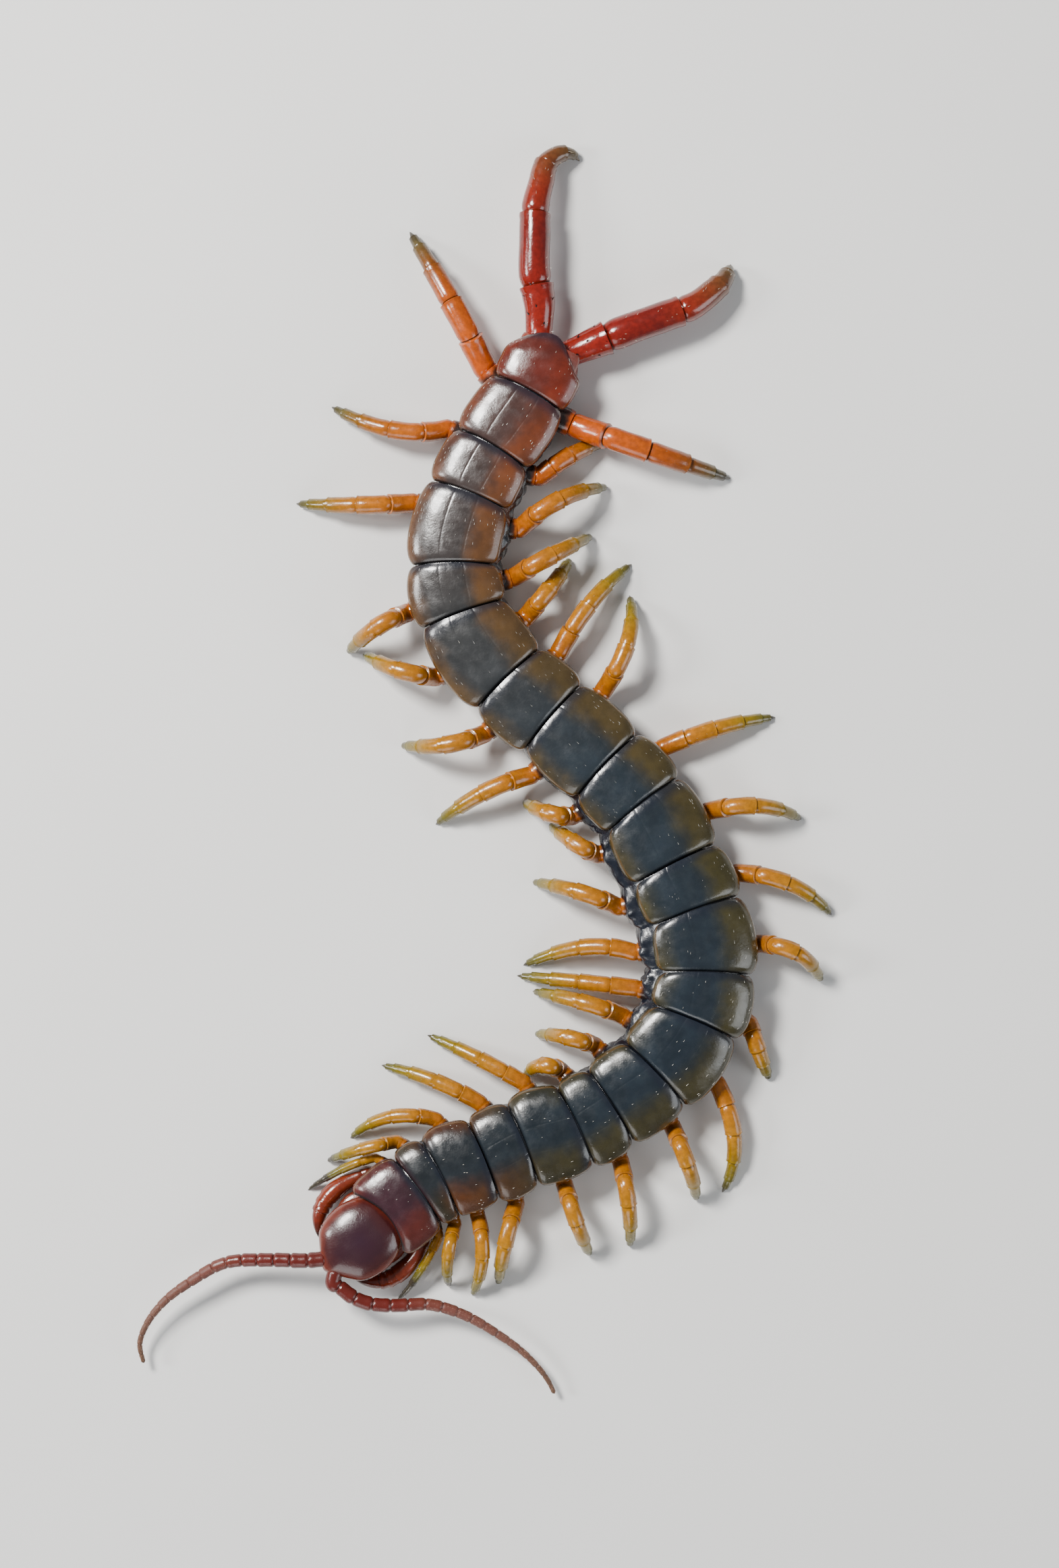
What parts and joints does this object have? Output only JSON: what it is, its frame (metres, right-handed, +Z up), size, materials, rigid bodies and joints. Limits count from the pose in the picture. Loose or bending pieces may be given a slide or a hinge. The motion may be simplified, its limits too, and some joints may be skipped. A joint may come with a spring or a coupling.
{
  "type": "giant centipede",
  "caption": "Long flat-bodied centipede in a winding walking pose, with plated segments, arched legs, two feelers, poison claws and long hind legs.",
  "frame": {"origin": "on the ground, under the middle of the box round the whole animal", "axes": "+Z up; +Y from the head's end of the pose towards the hind legs; +X to the right in the view from above with the hind legs at the top"},
  "size_m": [0.0666, 0.1194, 0.0062],
  "materials": {
    "head_shield": "glossy dark purple-brown shell with fine pits and red-brown margins",
    "claw": "glossy red-brown shell with black joints",
    "antenna": "glossy dark red articles, then matt and finely haired towards the tip",
    "trunk_front": "glossy blue-black plates with olive-brown sides",
    "trunk_middle": "glossy slate plates with two fine lines, bronze sides and a blue-black rear band",
    "trunk_rear": "glossy copper to red-brown plates with a dark rear band",
    "walking_leg": "glossy clear orange with olive tips and a dark claw",
    "hind_leg": "glossy deep red with tiny dark spines and brown tips"
  },
  "bodies": {
    "root": {"head": "head_shield", "trunk_01": "head_shield", "trunk_02_03": "trunk_front", "trunk_04_05": "trunk_front", "trunk_06_07": "trunk_front", "trunk_08_09": "trunk_middle", "trunk_10_11": "trunk_middle", "trunk_12_13": "trunk_middle", "trunk_14_15": "trunk_middle", "trunk_16_17": "trunk_middle", "trunk_18_19": "trunk_rear", "trunk_20": "trunk_rear", "trunk_21": "trunk_rear", "antenna_left": "antenna", "poison_claw_left": "claw", "leg_left_01": "walking_leg", "leg_left_02": "walking_leg", "leg_left_03": "walking_leg", "leg_left_04": "walking_leg", "leg_left_05": "walking_leg", "leg_left_06": "walking_leg", "leg_left_07": "walking_leg", "leg_left_08": "walking_leg", "leg_left_09": "walking_leg", "leg_left_10": "walking_leg", "leg_left_11": "walking_leg", "leg_left_12": "walking_leg", "leg_left_13": "walking_leg", "leg_left_14": "walking_leg", "leg_left_15": "walking_leg", "leg_left_16": "walking_leg", "leg_left_17": "walking_leg", "leg_left_18": "walking_leg", "leg_left_19": "walking_leg", "leg_left_20": "walking_leg", "leg_left_21": "hind_leg", "antenna_right": "antenna", "poison_claw_right": "claw", "leg_right_01": "walking_leg", "leg_right_02": "walking_leg", "leg_right_03": "walking_leg", "leg_right_04": "walking_leg", "leg_right_05": "walking_leg", "leg_right_06": "walking_leg", "leg_right_07": "walking_leg", "leg_right_08": "walking_leg", "leg_right_09": "walking_leg", "leg_right_10": "walking_leg", "leg_right_11": "walking_leg", "leg_right_12": "walking_leg", "leg_right_13": "walking_leg", "leg_right_14": "walking_leg", "leg_right_15": "walking_leg", "leg_right_16": "walking_leg", "leg_right_17": "walking_leg", "leg_right_18": "walking_leg", "leg_right_19": "walking_leg", "leg_right_20": "walking_leg", "leg_right_21": "hind_leg"}
  },
  "joints": []
}
